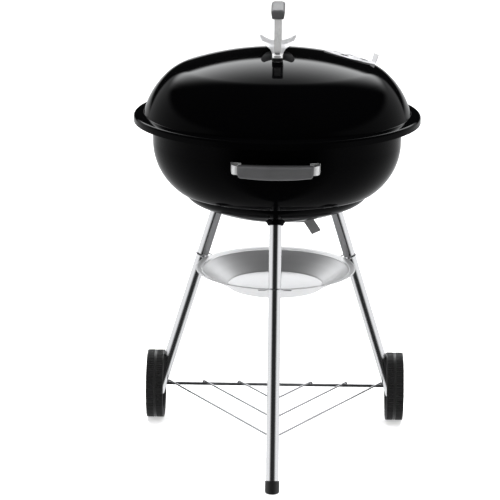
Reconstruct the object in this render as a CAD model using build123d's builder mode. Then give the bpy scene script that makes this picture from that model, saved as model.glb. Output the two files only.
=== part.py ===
from build123d import *
import os
from math import acos, asin, atan2, cos, degrees, pi, radians, sin, sqrt

# Kettle charcoal grill on a wheeled tripod. Millimetres, +Z up.
# Every piece is built round the kettle's vertical axis, and saved with the origin at floor
# level in the middle of the grill's footprint, which lies a little in front of that axis.

# ---- driving dimensions ------------------------------------------------------------------
SHEET = 1.2                 # enamelled steel sheet of the lid and the bowl
RUNNING = 0.05              # radial clearance of everything that turns on a pin
TOUCH = 0.1                 # gap left between pieces that are fastened face to face

# lid, outer surface: crown, shoulder and side arcs, then a flange and a lip
CROWN_R, CROWN_TOP, CROWN_EDGE_R = 602.0, 834.4, 193.0
SHOULDER_R, SHOULDER_EDGE_R = 94.2, 227.4
SIDE_R, SIDE_EDGE_Z = 158.6, 712.0
LIP_R, LIP_BOTTOM, FLANGE_Z, FLANGE_FALL = 292.5, 691.8, 707.5, 2.0

# bowl, outer surface: bottom dish, heel, step, wall, ledge and rolled rim
DISH_R, DISH_BOTTOM, DISH_EDGE_R = 402.0, 486.8, 170.5
HEEL = (193.5, 550.3)
STEP = (204.9, 550.9)
WALL_MID, WALL_R, WALL_TOP_Z = Vector(131.3, 648.8), 122.4, 652.0
LEDGE_R, LEDGE_Z = 272.0, 692.0
RIM_R, RIM_BEAD, RIM_TOP_Z = 279.0, 3.0, 704.8

# tripod
LEG_R, LEG_WALL = 12.7, 1.5
LEG_FOOT_R, LEG_SLOPE = 311.3, 0.3469     # distance from the axis at the floor, and lean per mm
LEG_TOP_Z = 508.5
FRONT, RIGHT, LEFT = 0, 120, 240          # directions of the legs, from -Y round towards +X
FOOT_CAP_R, FOOT_CAP_H = 14.4, 22.0
AXLE_Z, AXLE_R = 73.4, 3.5
REAR_LEG_END_Z = AXLE_Z - 19.0

# wheels
WHEEL_R, WHEEL_IN, WHEEL_OUT = 73.3, 239.4, 276.6

# ash catcher
ASH_RIM_R, ASH_RIM_Z, ASH_SHEET = 165.5, 378.7, 1.0
ASH_FLANGE_R, ASH_CREASE = 152.0, (100.0, 342.4)
ASH_MIDDLE_Z = 334.4

# handles on the bowl, each bolted on at two places
SIDE_GRIP_IN, SIDE_GRIP_OUT = 271.0, 297.0
SIDE_TOP_Z, SIDE_STRAP_H, BOWL_AT_HANDLE_R = 657.5, 17.5, 254.0
SIDE_BOLT_X, SIDE_BOLT_R = 76.0, 2.5
SIDE_BOLT_TURNS = [turn + side * degrees(asin(SIDE_BOLT_X / BOWL_AT_HANDLE_R))
                   for turn in (0, 180) for side in (-1, 1)]

LEAN = atan2(LEG_SLOPE, 1.0)
# the footprint runs from the foot cap's front to the rear grip's back
FOOTPRINT_Y = (SIDE_GRIP_OUT - LEG_FOOT_R - FOOT_CAP_R * cos(LEAN)) / 2

os.makedirs("parts", exist_ok=True)


def save(part, name):
    """Write one finished piece, moved so that the footprint's middle is at y = 0."""
    placed = part.moved(Location((0, -FOOTPRINT_Y, 0)))
    placed.label = name
    export_step(placed, f"parts/{name}.step")


# ---- places ------------------------------------------------------------------------------
def leg_radius(z):
    return LEG_FOOT_R - LEG_SLOPE * z


def radial(angle, r, z):
    """Point at a distance r from the kettle's axis, where 0 degrees is -Y and 90 is +X."""
    a = radians(angle)
    return Vector(r * sin(a), -r * cos(a), z)


def leg_plane(angle, z):
    """Plane across a leg: normal up the leg, x direction outward and slightly up."""
    outward = radial(angle, 1, 0)
    up = outward * -sin(LEAN) + Vector(0, 0, cos(LEAN))
    out = outward * cos(LEAN) + Vector(0, 0, sin(LEAN))
    return Plane(origin=radial(angle, leg_radius(z), z), x_dir=out, z_dir=up)


def upright_plane(angle):
    """Vertical plane through the kettle's axis, x outward at an angle and y up."""
    outward = radial(angle, 1, 0)
    return Plane(origin=(0, 0, 0), x_dir=outward, z_dir=outward.cross(Vector(0, 0, 1)))


def on_arc(mid, radius, tilt):
    """Point of a circle in a section, tilt radians from straight up."""
    return Vector(mid.X + radius * sin(tilt), mid.Y + radius * cos(tilt))


def arc(mid, radius, first, last):
    return ThreePointArc(on_arc(mid, radius, first), on_arc(mid, radius, (first + last) / 2),
                         on_arc(mid, radius, last))


def bowl_bolt_plane(angle, r):
    """Upright plane across one of the bowl's handle bolts, its normal pointing outward."""
    return Plane(origin=radial(angle, r, SIDE_TOP_Z - SIDE_STRAP_H / 2), x_dir=(0, 0, 1),
                 z_dir=radial(angle, 1, 0))


AXLE_Y = leg_radius(AXLE_Z) * cos(radians(60))

# ---- lid shell -----------------------------------------------------------------------------
CROWN_MID = Vector(0, CROWN_TOP - CROWN_R)
crown_tilt = asin(CROWN_EDGE_R / CROWN_R)
shoulder_mid = on_arc(CROWN_MID, CROWN_R - SHOULDER_R, crown_tilt)
shoulder_tilt = asin((SHOULDER_EDGE_R - shoulder_mid.X) / SHOULDER_R)
side_mid = on_arc(shoulder_mid, SHOULDER_R - SIDE_R, shoulder_tilt)
side_tilt = acos((SIDE_EDGE_Z - side_mid.Y) / SIDE_R)

# lid damper seat, on the slope of the crown
DAMPER_TILT, DAMPER_TURN = radians(15.3), radians(22.0)
VENT_R, VENT_PITCH_R, VENTS, RIVET_R = 9.5, 31.0, 4, 3.5
damper_normal = Vector(sin(DAMPER_TILT) * cos(DAMPER_TURN), sin(DAMPER_TILT) * sin(DAMPER_TURN),
                       cos(DAMPER_TILT))
damper_down = Vector(cos(DAMPER_TILT) * cos(DAMPER_TURN), cos(DAMPER_TILT) * sin(DAMPER_TURN),
                     -sin(DAMPER_TILT))
damper_seat = Plane(origin=Vector(0, 0, CROWN_MID.Y) + damper_normal * CROWN_R,
                    x_dir=damper_down, z_dir=damper_normal)
damper_section = Plane(origin=damper_seat.origin, x_dir=damper_down,
                       z_dir=damper_down.cross(damper_normal))

# lid handle feet, one in front and one behind
HANDLE_FOOT_Y, BOLT_R = 87.0, 3.0


def crown_plane(y, lift):
    """Plane over the crown at x = 0, its normal pointing out of the lid."""
    tilt = asin(y / CROWN_R)
    normal = Vector(0, sin(tilt), cos(tilt))
    return Plane(origin=Vector(0, 0, CROWN_MID.Y) + normal * (CROWN_R + lift), x_dir=(1, 0, 0),
                 z_dir=normal)


with BuildPart() as lid_shell:
    with BuildSketch(Plane.XZ):
        with BuildLine():
            for inset in (0, SHEET):
                arc(CROWN_MID, CROWN_R - inset, 0, crown_tilt)
                arc(shoulder_mid, SHOULDER_R - inset, crown_tilt, shoulder_tilt)
                side = arc(side_mid, SIDE_R - inset, shoulder_tilt, side_tilt)
                turn = side @ 1 + Vector(1.6, FLANGE_Z - SIDE_EDGE_Z)
                corner = Vector(LIP_R - inset, FLANGE_Z - FLANGE_FALL - inset)
                FilletPolyline(side @ 1, turn - Vector(0, inset), corner, (LIP_R - inset, LIP_BOTTOM),
                               radius=[2.0 + inset, 6.0 - inset])
            Line((0, CROWN_TOP), (0, CROWN_TOP - SHEET))
            Line((LIP_R, LIP_BOTTOM), (LIP_R - SHEET, LIP_BOTTOM))
        make_face()
    revolve(axis=Axis.Z)
    with BuildSketch(damper_seat.offset(-20)):
        with PolarLocations(VENT_PITCH_R, VENTS, start_angle=45):
            Circle(VENT_R)
        Circle(RIVET_R + TOUCH)
    extrude(amount=40, mode=Mode.SUBTRACT)
    for end in (-1, 1):
        with BuildSketch(crown_plane(end * HANDLE_FOOT_Y, -20)):
            Circle(BOLT_R + TOUCH)
        extrude(amount=40, mode=Mode.SUBTRACT)
save(lid_shell.part, "lid_shell")

# ---- lid damper: a disc curved like the crown, on a rivet, with a tab to push it by --------
DAMPER_R, DAMPER_SHEET, DAMPER_GAP = 56.0, 1.4, 0.5
TAB_WIDTH, TAB_HEIGHT = 22.0, 19.0
seat_mid = Vector(0, -CROWN_R)
disc_reach = DAMPER_R / CROWN_R
disc_edge_z = on_arc(seat_mid, CROWN_R + DAMPER_GAP, disc_reach).Y

with BuildPart() as damper_disc:
    with BuildSketch(damper_section):
        with BuildLine():
            under = arc(seat_mid, CROWN_R + DAMPER_GAP, 0, disc_reach)
            upper = arc(seat_mid, CROWN_R + DAMPER_GAP + DAMPER_SHEET, 0, disc_reach)
            Line(under @ 0, upper @ 0)
            Line(under @ 1, upper @ 1)
        make_face()
    revolve(axis=Axis(damper_seat.origin, damper_normal))
    with BuildSketch(damper_seat.offset(-10)):
        with PolarLocations(VENT_PITCH_R, VENTS, start_angle=45):
            Circle(VENT_R)
        Circle(RIVET_R + RUNNING)
    extrude(amount=30, mode=Mode.SUBTRACT)
    with BuildSketch(damper_section):
        with BuildLine():
            Polyline((DAMPER_R - 3, disc_edge_z + 0.5), (DAMPER_R + 0.6, disc_edge_z + 0.3),
                     (DAMPER_R + 2.0, disc_edge_z + TAB_HEIGHT), (DAMPER_R + 0.6, disc_edge_z + TAB_HEIGHT),
                     (DAMPER_R - 0.8, disc_edge_z + DAMPER_SHEET), (DAMPER_R - 3, disc_edge_z + DAMPER_SHEET),
                     close=True)
        make_face()
    extrude(amount=TAB_WIDTH / 2, both=True)
save(damper_disc.part, "damper_disc")

HEAD_R, HEAD_RISE = 8.5, 2.8
HEAD_DOME_R = (HEAD_R ** 2 + HEAD_RISE ** 2) / (2 * HEAD_RISE)
with BuildPart() as damper_rivet:
    with BuildSketch(damper_section):
        with BuildLine():
            head_z = DAMPER_GAP + DAMPER_SHEET + TOUCH
            dome_mid = Vector(0, head_z + 1.2 + HEAD_RISE - HEAD_DOME_R)
            dome = arc(dome_mid, HEAD_DOME_R, 0, asin(HEAD_R / HEAD_DOME_R))
            Polyline(dome @ 1, (HEAD_R, head_z), (RIVET_R, head_z), (RIVET_R, -SHEET - TOUCH),
                     (7, -SHEET - TOUCH), (7, -SHEET - 3), (0, -SHEET - 3), dome @ 0)
        make_face()
    revolve(axis=Axis(damper_seat.origin, damper_normal))
save(damper_rivet.part, "damper_rivet")

# ---- lid handle: feet, heat shield, strap, grip and bolts -----------------------------------
SHIELD_T, SHIELD_TOP_Z, SHIELD_HALF_W, SHIELD_TIP_Z = 1.0, 849.5, 37.0, 864.0
SHIELD_REACH, SHIELD_FOOT_W = 97.0, 10.0
SHIELD_OUTLINE = [(SHIELD_HALF_W, 0), (36.0, 12.0), (33.0, 27.0), (29.5, 39.0), (26.0, 43.5), (20.0, 45.5),
                  (15.5, 48.0), (12.5, 54.0), (SHIELD_FOOT_W, 66.0), (SHIELD_FOOT_W, SHIELD_REACH)]
BOOT_LOW, BOOT_H, WASHER_T = 2.9, 6.5, 1.2
STRAP_W, STRAP_T = 14.0, 3.0
GRIP_HALF, GRIP_W, GRIP_LOW_Z, GRIP_END_Z, GRIP_TOP_Z = 57.0, 27.6, 906.0, 924.3, 930.5
STRAP_TOP_Z, STRAP_TOP_Y = GRIP_LOW_Z + 8.0, 53.0
strap_lift = BOOT_LOW + BOOT_H + WASHER_T + 3 * TOUCH + STRAP_T / 2
foot_tilt = asin(HANDLE_FOOT_Y / CROWN_R)


def foot_point(along, lift):
    """Point (y, z) on the rear foot, along its slope outwards and above the lid."""
    y = (CROWN_R + lift) * sin(foot_tilt) + along * cos(foot_tilt)
    z = CROWN_MID.Y + (CROWN_R + lift) * cos(foot_tilt) - along * sin(foot_tilt)
    return (y, z)


def mirrored(points):
    """A half outline in (y, z), with its reflection in y = 0 added after it."""
    return points + [(-y, z) for y, z in reversed(points)]


strap_points = mirrored([foot_point(11, strap_lift), foot_point(-9, strap_lift),
                         (STRAP_TOP_Y, STRAP_TOP_Z)])
STRAP_BENDS = [5.0, 9.0, 9.0, 5.0]

with BuildPart() as handle_strap:
    with BuildSketch(Plane.YZ):
        with BuildLine() as strap_path:
            FilletPolyline(*strap_points, radius=STRAP_BENDS)
        trace(strap_path.line, line_width=STRAP_T)
    extrude(amount=STRAP_W / 2, both=True)
    for end in (-1, 1):
        with BuildSketch(crown_plane(end * HANDLE_FOOT_Y, 0)):
            Circle(BOLT_R + TOUCH)
        extrude(amount=strap_lift + 8, mode=Mode.SUBTRACT)
save(handle_strap.part, "lid_handle_strap")

with BuildPart() as lid_grip:
    with BuildSketch(Plane.YZ):
        with BuildLine():
            ThreePointArc((-GRIP_HALF, GRIP_END_Z), (0, GRIP_TOP_Z), (GRIP_HALF, GRIP_END_Z))
            Polyline((GRIP_HALF, GRIP_END_Z), (GRIP_HALF + 1.5, GRIP_LOW_Z), (-GRIP_HALF - 1.5, GRIP_LOW_Z),
                     (-GRIP_HALF, GRIP_END_Z))
        make_face()
    extrude(amount=GRIP_W / 2, both=True)
    fillet(lid_grip.edges().filter_by(GeomType.CIRCLE), radius=5.0)
    with BuildSketch(Plane.YZ):
        with BuildLine() as channel_path:
            FilletPolyline(*strap_points[1:-1], radius=STRAP_BENDS[1:-1])
        trace(channel_path.line, line_width=STRAP_T + 2 * TOUCH)
    extrude(amount=STRAP_W / 2 + TOUCH, both=True, mode=Mode.SUBTRACT)
    with BuildSketch(Plane.XY.offset(GRIP_LOW_Z - 1)):
        RectangleRounded(STRAP_W, 2 * GRIP_HALF - 16, 3)
    extrude(amount=STRAP_TOP_Z - GRIP_LOW_Z + 1, mode=Mode.SUBTRACT)
save(lid_grip.part, "lid_handle_grip")

with BuildPart() as grip_insert:
    with BuildSketch(Plane.XY.offset(GRIP_LOW_Z + 0.6)):
        RectangleRounded(STRAP_W - 2 * TOUCH, 2 * GRIP_HALF - 16 - 2 * TOUCH, 3)
    extrude(amount=STRAP_TOP_Z - STRAP_T / 2 - TOUCH - GRIP_LOW_Z - 0.6)
save(grip_insert.part, "lid_handle_grip_insert")

# the shield arches from foot to foot and curls up at its two sides, wide in the middle
curl_rise = SHIELD_TIP_Z - SHIELD_TOP_Z
CURL_R = (SHIELD_HALF_W ** 2 + curl_rise ** 2) / (2 * curl_rise)
CURL_REACH = radians(48)
shield_points = mirrored([foot_point(14, 0.4), foot_point(-16, 0.4), (36, SHIELD_TOP_Z - SHIELD_T)])
with BuildPart() as heat_shield:
    with BuildLine(Plane.YZ) as shield_path:
        FilletPolyline(*shield_points, radius=[20.0, 60.0, 60.0, 20.0])
    with BuildSketch(Plane(origin=shield_path.line @ 0, x_dir=(1, 0, 0), z_dir=shield_path.line % 0)):
        with BuildLine():
            curl_mid = Vector(0, CURL_R)
            low = arc(curl_mid, -CURL_R, -CURL_REACH, CURL_REACH)
            up = arc(curl_mid, SHIELD_T - CURL_R, -CURL_REACH, CURL_REACH)
            Line(low @ 0, up @ 0)
            Line(low @ 1, up @ 1)
        make_face()
    sweep()
    with BuildSketch(Plane.XY.offset(CROWN_TOP - 30)):
        with BuildLine():
            for sx in (-1, 1):
                for sy in (-1, 1):
                    Polyline(*[(sx * x, sy * y) for x, y in SHIELD_OUTLINE])
            Line((-SHIELD_FOOT_W, SHIELD_REACH), (SHIELD_FOOT_W, SHIELD_REACH))
            Line((-SHIELD_FOOT_W, -SHIELD_REACH), (SHIELD_FOOT_W, -SHIELD_REACH))
        make_face()
    extrude(amount=90, mode=Mode.INTERSECT)
    for end in (-1, 1):
        with BuildSketch(crown_plane(end * HANDLE_FOOT_Y, -2)):
            Circle(BOLT_R + TOUCH)
        extrude(amount=12, mode=Mode.SUBTRACT)
save(heat_shield.part, "heat_shield")

for name, end in (("front", -1), ("rear", 1)):
    with BuildPart() as boot:
        with BuildSketch(crown_plane(end * HANDLE_FOOT_Y, BOOT_LOW)):
            RectangleRounded(22, 28, 5)
            Circle(BOLT_R + TOUCH, mode=Mode.SUBTRACT)
        extrude(amount=BOOT_H)
    save(boot.part, f"handle_foot_{name}")
    with BuildPart() as washer:
        with BuildSketch(crown_plane(end * HANDLE_FOOT_Y, BOOT_LOW + BOOT_H + TOUCH)):
            RectangleRounded(19.6, 25, 2)
            Circle(BOLT_R + TOUCH, mode=Mode.SUBTRACT)
        extrude(amount=WASHER_T)
    save(washer.part, f"handle_washer_{name}")

bolt_head_lift = strap_lift + STRAP_T / 2 + TOUCH
with BuildPart() as handle_bolts:
    for end in (-1, 1):
        with BuildSketch(crown_plane(end * HANDLE_FOOT_Y, -SHEET - 7)):
            Circle(BOLT_R)
        extrude(amount=bolt_head_lift + SHEET + 7)
        with BuildSketch(crown_plane(end * HANDLE_FOOT_Y, bolt_head_lift)):
            RegularPolygon(5.6, 6)
        extrude(amount=3.6)
        with BuildSketch(crown_plane(end * HANDLE_FOOT_Y, -SHEET - TOUCH)):
            RegularPolygon(5.6, 6)
        extrude(amount=-5)
save(handle_bolts.part, "lid_handle_bolts")

# ---- bowl ------------------------------------------------------------------------------------
DISH_MID = Vector(0, DISH_BOTTOM + DISH_R)
dish_tilt = pi - asin(DISH_EDGE_R / DISH_R)
HEEL_R = 44.1
heel_mid = on_arc(DISH_MID, DISH_R - HEEL_R, dish_tilt)
heel_end_tilt = pi / 2 + asin((heel_mid.Y - HEEL[1]) / HEEL_R)
wall_start_tilt = pi / 2 + asin((WALL_MID.Y - STEP[1]) / WALL_R)
wall_end_tilt = acos((WALL_TOP_Z - WALL_MID.Y) / WALL_R)
VENT_SLOT, VENT_SLOT_R, SHAFT_R, SWEEP_TURN = (44.0, 26.0), 70.0, 6.0, 330

with BuildPart() as bowl_shell:
    with BuildSketch(Plane.XZ):
        with BuildLine():
            for inset in (0, SHEET):
                arc(DISH_MID, DISH_R - inset, pi, dish_tilt)
                heel = arc(heel_mid, HEEL_R - inset, dish_tilt, heel_end_tilt)
                wall = arc(WALL_MID, WALL_R - inset, wall_start_tilt, wall_end_tilt)
                Line(heel @ 1, wall @ 0)
                FilletPolyline(wall @ 1, (LEDGE_R - 16.5 - inset, LEDGE_Z + inset),
                               (RIM_R - 0.2 - inset, LEDGE_Z + inset),
                               (RIM_R - inset, RIM_TOP_Z - RIM_BEAD), radius=[5.0, 3.0])
            Line((0, DISH_BOTTOM), (0, DISH_BOTTOM + SHEET))
            Line((RIM_R, RIM_TOP_Z - RIM_BEAD), (RIM_R - SHEET, RIM_TOP_Z - RIM_BEAD))
        make_face()
        with Locations((RIM_R + RIM_BEAD - SHEET, RIM_TOP_Z - RIM_BEAD)):
            Circle(RIM_BEAD)
    revolve(axis=Axis.Z)
    with BuildSketch(Plane.XY.offset(DISH_BOTTOM - 10)):
        with PolarLocations(VENT_SLOT_R, 3, start_angle=SWEEP_TURN):
            RectangleRounded(*VENT_SLOT, 10)
        Circle(SHAFT_R + RUNNING)
    extrude(amount=40, mode=Mode.SUBTRACT)
    for angle in SIDE_BOLT_TURNS:
        with BuildSketch(bowl_bolt_plane(angle, BOWL_AT_HANDLE_R - 10)):
            Circle(SIDE_BOLT_R + TOUCH)
        extrude(amount=20, mode=Mode.SUBTRACT)
save(bowl_shell.part, "bowl_shell")

# ---- bottom vent: three blades over the slots, on a shaft turned by the lever below ------------
BLADE_T, BLADE_GAP, BLADE_REACH = 1.6, 0.5, 108.0
with BuildPart() as vent_blades:
    with BuildSketch(Plane.XZ):
        with BuildLine():
            reach = asin(BLADE_REACH / DISH_R)
            low = arc(DISH_MID, DISH_R - SHEET - BLADE_GAP, pi, pi - reach)
            up = arc(DISH_MID, DISH_R - SHEET - BLADE_GAP - BLADE_T, pi, pi - reach)
            Line(low @ 0, up @ 0)
            Line(low @ 1, up @ 1)
        make_face()
    revolve(axis=Axis.Z)
    with BuildSketch(Plane.XY.offset(DISH_BOTTOM)):
        Circle(26)
        with PolarLocations(BLADE_REACH / 2, 3, start_angle=SWEEP_TURN):
            RectangleRounded(BLADE_REACH - 4, 36, 12)
        Circle(SHAFT_R + TOUCH, mode=Mode.SUBTRACT)
    extrude(amount=40, mode=Mode.INTERSECT)
save(vent_blades.part, "vent_blades")

LEVER_DROP, LEVER_T, LEVER_W, LEVER_BEND_R = 3.4, 2.0, 35.0, 76.0
LEVER_TAB, LEVER_TAB_TILT = 30.0, radians(50)
lever_axis_angle = 60
with BuildPart() as vent_lever:
    with BuildSketch(upright_plane(lever_axis_angle)):
        with BuildLine() as lever_line:
            bend = asin(LEVER_BEND_R / DISH_R)
            strip = arc(DISH_MID, DISH_R + LEVER_DROP + LEVER_T / 2, pi + radians(2.6), pi - bend)
            Line(strip @ 1, strip @ 1 + Vector(cos(LEVER_TAB_TILT), -sin(LEVER_TAB_TILT)) * LEVER_TAB)
        trace(lever_line.line, line_width=LEVER_T)
    extrude(amount=LEVER_W / 2, both=True)
    with BuildSketch(Plane.XY.offset(DISH_BOTTOM - 20)):
        Circle(SHAFT_R + TOUCH)
    extrude(amount=30, mode=Mode.SUBTRACT)
save(vent_lever.part, "vent_lever")

with BuildPart() as vent_shaft:
    with BuildSketch(Plane.XY.offset(DISH_BOTTOM - 12)):
        Circle(SHAFT_R)
    extrude(amount=24)
    with BuildSketch(Plane.XY.offset(DISH_BOTTOM + SHEET + BLADE_GAP + BLADE_T + 3 * TOUCH)):
        Circle(11)
    extrude(amount=3)
    with BuildSketch(Plane.XY.offset(DISH_BOTTOM - LEVER_DROP - LEVER_T - TOUCH - 5)):
        RegularPolygon(10, 6)
    extrude(amount=5)
save(vent_shaft.part, "vent_shaft")

# ---- legs, sockets, foot cap and axle -----------------------------------------------------------
SOCKET_R, SOCKET_REACH, SOCKET_DROP = 16.0, 31.0, 5.5


def leg_length(z_low, z_high):
    return (z_high - z_low) / cos(LEAN)


for name, angle, z_low in (("front", FRONT, 8.0), ("right", RIGHT, REAR_LEG_END_Z),
                           ("left", LEFT, REAR_LEG_END_Z)):
    with BuildPart() as leg:
        with BuildSketch(leg_plane(angle, z_low)):
            Circle(LEG_R)
            Circle(LEG_R - LEG_WALL, mode=Mode.SUBTRACT)
        extrude(amount=leg_length(z_low, LEG_TOP_Z))
        if angle == FRONT:
            with BuildSketch(Plane.XZ.offset(leg_radius(AXLE_Z) - LEG_R - 4)):
                with Locations((0, AXLE_Z + 1.85)):
                    Circle(2.5 + TOUCH)
            extrude(amount=14, mode=Mode.SUBTRACT)
        else:
            with BuildSketch(Plane(origin=(0, AXLE_Y, AXLE_Z), x_dir=(0, 1, 0), z_dir=(1, 0, 0))):
                Circle(AXLE_R + RUNNING)
            extrude(amount=leg_radius(0), both=True, mode=Mode.SUBTRACT)
    save(leg.part, f"leg_{name}")

    # short flared collar, welded under the bowl, that the leg pushes into
    with BuildPart() as socket:
        low = leg_plane(angle, LEG_TOP_Z - SOCKET_DROP)
        section = Plane(origin=low.origin, x_dir=low.x_dir, z_dir=low.x_dir.cross(low.z_dir))
        with BuildSketch(section):
            with BuildLine():
                Polyline((LEG_R + TOUCH, 40), (LEG_R + TOUCH, 0), (SOCKET_R, 0), (SOCKET_R + 0.4, 2))
                ThreePointArc((SOCKET_R + 0.4, 2), (SOCKET_R + 3.4, 7), (SOCKET_REACH, 13))
                Polyline((SOCKET_REACH, 13), (SOCKET_REACH, 40), (LEG_R + TOUCH, 40))
            make_face()
        revolve(axis=Axis(low.origin, low.z_dir))
        with BuildSketch(Plane.XZ):
            with BuildLine():
                dish = arc(DISH_MID, DISH_R + TOUCH, pi, dish_tilt - radians(6))
                Polyline(dish @ 1, (dish @ 1).add(Vector(0, 80)), (0, DISH_BOTTOM + 160), dish @ 0)
            make_face()
        revolve(axis=Axis.Z, mode=Mode.SUBTRACT)
    save(socket.part, f"leg_socket_{name}")

with BuildPart() as foot_cap:
    with BuildSketch(leg_plane(FRONT, -8)):
        Circle(FOOT_CAP_R)
    extrude(amount=leg_length(-8, FOOT_CAP_H))
    split(bisect_by=Plane.XY, keep=Keep.TOP)
    fillet(foot_cap.faces().sort_by(Axis.Z)[0].edges(), radius=3.0)
    with BuildSketch(leg_plane(FRONT, 8.0 - TOUCH)):
        Circle(LEG_R + TOUCH)
    extrude(amount=30, mode=Mode.SUBTRACT)
save(foot_cap.part, "foot_cap")

HUB_CAP_T, HUB_CAP_R = 2.4, 11.0
axle_section = Plane(origin=(0, AXLE_Y, AXLE_Z), x_dir=(0, 1, 0), z_dir=(1, 0, 0))
with BuildPart() as axle:
    with BuildSketch(axle_section):
        Circle(AXLE_R)
    extrude(amount=WHEEL_OUT + 0.4, both=True)
save(axle.part, "axle")

# ---- wheels: ribbed tyre wall open on the inside, a thin web and a hub ---------------------------
RING_T, WEB_IN, WEB_T, HUB_R, HUB_IN = 5.3, 270.4, 3.0, 11.5, 268.8
for name, sign in (("left", -1), ("right", 1)):
    with BuildPart() as wheel:
        with BuildSketch(Plane(origin=(0, AXLE_Y, AXLE_Z), x_dir=(sign, 0, 0), z_dir=(0, -1, 0))):
            with BuildLine():
                FilletPolyline((WHEEL_IN + 3.4, WHEEL_R - RING_T), (WHEEL_IN, WHEEL_R - 2),
                               (WHEEL_IN + 1.5, WHEEL_R), (WHEEL_OUT, WHEEL_R),
                               (WHEEL_OUT, WHEEL_R - RING_T), (WEB_IN + WEB_T, WHEEL_R - RING_T - 3),
                               (WEB_IN + WEB_T, HUB_R), (WHEEL_OUT - 0.4, HUB_R),
                               (WHEEL_OUT - 0.4, AXLE_R + RUNNING), (HUB_IN, AXLE_R + RUNNING),
                               (HUB_IN, HUB_R), (WEB_IN, HUB_R), (WEB_IN, WHEEL_R - RING_T),
                               radius=[1.0, 0.8, 0.6, 2.4, 1.5, 0.5, 0.5, 0.5, 0.1, 0.1, 0.5, 0.5, 0.3],
                               close=True)
            make_face()
        revolve(axis=Axis((0, AXLE_Y, AXLE_Z), (1, 0, 0)))
    save(wheel.part, f"wheel_{name}")
    with BuildPart() as hub_cap:
        with BuildSketch(axle_section.offset(sign * (WHEEL_OUT + 0.1))):
            Circle(HUB_CAP_R)
        extrude(amount=sign * HUB_CAP_T)
        fillet(hub_cap.edges().group_by(Axis.X)[-1 if sign > 0 else 0], radius=1.2)
        with BuildSketch(axle_section.offset(sign * (WHEEL_OUT - 1))):
            Circle(AXLE_R + TOUCH)
        extrude(amount=sign * 1.5, mode=Mode.SUBTRACT)
    save(hub_cap.part, f"hub_cap_{name}")

# ---- wire shelf: three nested V wires hooked over the axle, resting on a spine rod ---------------
WIRE_R, SPINE_R, HOOK_R = 2.0, 2.5, 6.4
WIRE_SLOPE = 1.56
wire_z = AXLE_Z + HOOK_R
wire_half_angle = atan2(1.0, WIRE_SLOPE)


def hook_point(sign, end_x, turn):
    """Point of the hook that a shelf wire makes over the axle, at a turn from its top."""
    ahead = Vector(sign * sin(wire_half_angle), cos(wire_half_angle), 0)
    return Vector(sign * end_x, AXLE_Y, AXLE_Z) + ahead * (HOOK_R * sin(turn)) + Vector(0, 0, HOOK_R * cos(turn))


HOOK_TURN = radians(68)
for name, end_x in (("outer", 228.5), ("middle", 152.6), ("inner", 76.5)):
    with BuildPart() as shelf_wire:
        with BuildLine() as shelf_path:
            ThreePointArc(*[hook_point(-1, end_x, turn) for turn in (HOOK_TURN, HOOK_TURN / 2, 0)])
            FilletPolyline(hook_point(-1, end_x, 0), (0, AXLE_Y - WIRE_SLOPE * end_x, wire_z),
                           hook_point(1, end_x, 0), radius=9)
            ThreePointArc(*[hook_point(1, end_x, turn) for turn in (0, HOOK_TURN / 2, HOOK_TURN)])
        with BuildSketch(Plane(origin=shelf_path.line @ 0, z_dir=shelf_path.line % 0)):
            Circle(WIRE_R)
        sweep()
    save(shelf_wire.part, f"shelf_wire_{name}")

spine_z = wire_z - WIRE_R - SPINE_R - TOUCH
SPINE_BACK_Y = AXLE_Y - WIRE_SLOPE * 76.5 + 12
with BuildPart() as shelf_spine:
    with BuildSketch(Plane.XZ.offset(-SPINE_BACK_Y)):
        with Locations((0, spine_z)):
            Circle(SPINE_R)
    extrude(amount=SPINE_BACK_Y + leg_radius(spine_z))
save(shelf_spine.part, "shelf_spine")

# ---- ash catcher and the wire clips that carry it -------------------------------------------------
with BuildPart() as ash_catcher:
    with BuildSketch(Plane.XZ):
        with BuildLine():
            for drop in (0, ASH_SHEET):
                FilletPolyline((0, ASH_MIDDLE_Z - drop), (ASH_CREASE[0], ASH_CREASE[1] - drop),
                               (ASH_FLANGE_R, ASH_RIM_Z - drop), (ASH_RIM_R, ASH_RIM_Z - drop),
                               radius=[6, 2.5 + drop])
            Line((0, ASH_MIDDLE_Z), (0, ASH_MIDDLE_Z - ASH_SHEET))
            Line((ASH_RIM_R, ASH_RIM_Z), (ASH_RIM_R, ASH_RIM_Z - ASH_SHEET))
        make_face()
    revolve(axis=Axis.Z)
save(ash_catcher.part, "ash_catcher")

CLIP_R, CLIP_Z = 1.5, 381.4
clip_bend = LEG_R + CLIP_R + TOUCH
for name, angle in (("front", FRONT), ("right", RIGHT), ("left", LEFT)):
    seat = leg_plane(angle, CLIP_Z)

    def clip_point(outward, across):
        return seat.origin + seat.x_dir * outward + seat.y_dir * across

    with BuildPart() as clip:
        with BuildLine() as clip_path:
            FilletPolyline(clip_point(-25, -33), clip_point(-19, -16), clip_point(0, -clip_bend), radius=4)
            ThreePointArc(clip_point(0, -clip_bend), clip_point(clip_bend, 0), clip_point(0, clip_bend))
            FilletPolyline(clip_point(0, clip_bend), clip_point(-19, 16), clip_point(-25, 33), radius=4)
        with BuildSketch(Plane(origin=clip_path.line @ 0, z_dir=clip_path.line % 0)):
            Circle(CLIP_R)
        sweep()
    save(clip.part, f"ash_clip_{name}")

# ---- handles on the bowl, in front and behind: bracket, strap, grip and bolts ---------------------
SIDE_STRAP_T, SIDE_GRIP_HALF, SIDE_GRIP_LOW_Z = 2.5, 74.0, 632.6
SIDE_REACH, SIDE_ROOT_X, SIDE_TAB_X = 279.0, 86.0, 67.0     # the strap's end tabs turn inwards
TAB_OUT = 6.0               # how far the strap's end tabs stand off the bowl's wall
SPACER_OUT = TAB_OUT - SIDE_STRAP_T / 2 - TOUCH - 0.3


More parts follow.
